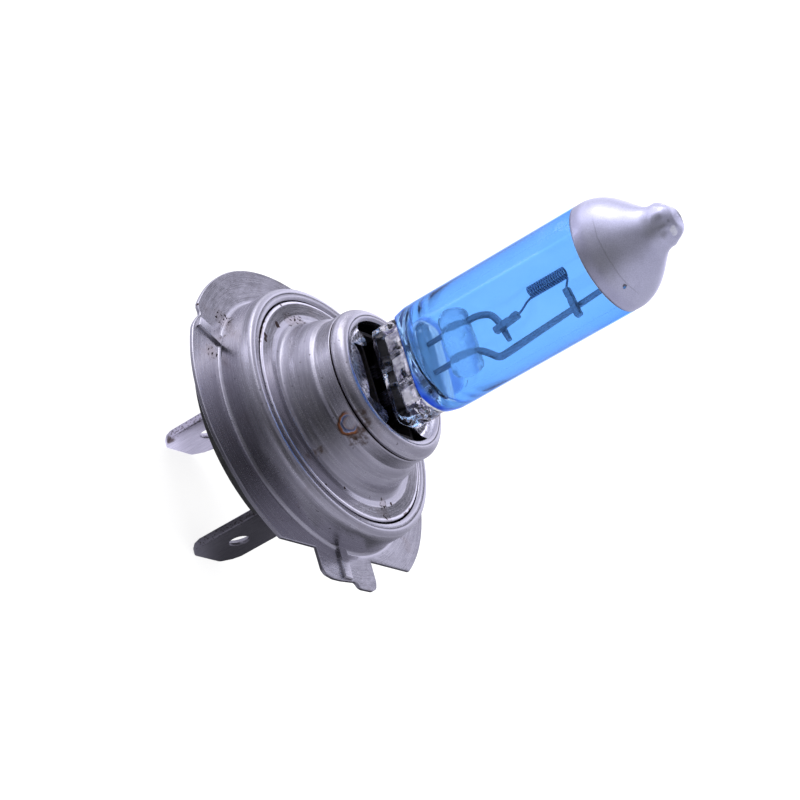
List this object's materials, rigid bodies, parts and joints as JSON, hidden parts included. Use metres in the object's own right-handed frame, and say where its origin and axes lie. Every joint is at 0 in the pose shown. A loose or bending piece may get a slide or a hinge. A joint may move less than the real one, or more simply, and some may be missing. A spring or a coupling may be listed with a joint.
{
  "type": "halogen headlight bulb",
  "caption": "Halogen headlight bulb: blue-tinted quartz burner with silver tip on a pressed steel prefocus cap with keyed round flange and parallel blade terminals.",
  "frame": {"origin": "on the lamp axis, in the reference plane set by the tops of the flange's pressed ribs", "axes": "+Z along the lamp axis from the blades towards the glass tip; -Y towards the keyed tongue of the flange; X along the width of the blades"},
  "size_m": [0.0332, 0.0334, 0.0571],
  "materials": {
    "flange_steel": "pressed stainless steel, satin with fine brushing and small rust specks",
    "neck_steel": "satin pressed steel with a heat-tint ring at one weld",
    "collar_steel": "bright satin steel",
    "holder_steel": "bright sheet steel",
    "black_moulding": "matt black moulding",
    "terminal_metal": "plated blade with slight heat tint along its edges",
    "clear_quartz": "clear quartz glass",
    "blue_coating": "transparent cornflower-blue tint on glass",
    "silver_paint": "satin grey-silver opaque paint on glass",
    "lead_metal": "dark molybdenum wire",
    "tungsten": "dark grey tungsten"
  },
  "bodies": {
    "root": {"mounting_flange": "flange_steel", "neck_ring": "neck_steel", "burner_collar": "collar_steel", "pinch_holder": "holder_steel", "insulator_base": "black_moulding", "terminal_far_side": "terminal_metal", "terminal_tongue_side": "terminal_metal", "quartz_burner": "clear_quartz", "blue_filter_coat": "blue_coating", "silver_tip_coat": "silver_paint", "quartz_bridge": "clear_quartz", "short_support_lead": "lead_metal", "long_support_lead": "lead_metal", "sealing_foil_a": "lead_metal", "sealing_foil_b": "lead_metal", "outer_lead_a": "lead_metal", "outer_lead_b": "lead_metal", "filament_coil": "tungsten", "near_filament_clamp": "lead_metal", "far_filament_clamp": "lead_metal"}
  },
  "joints": []
}
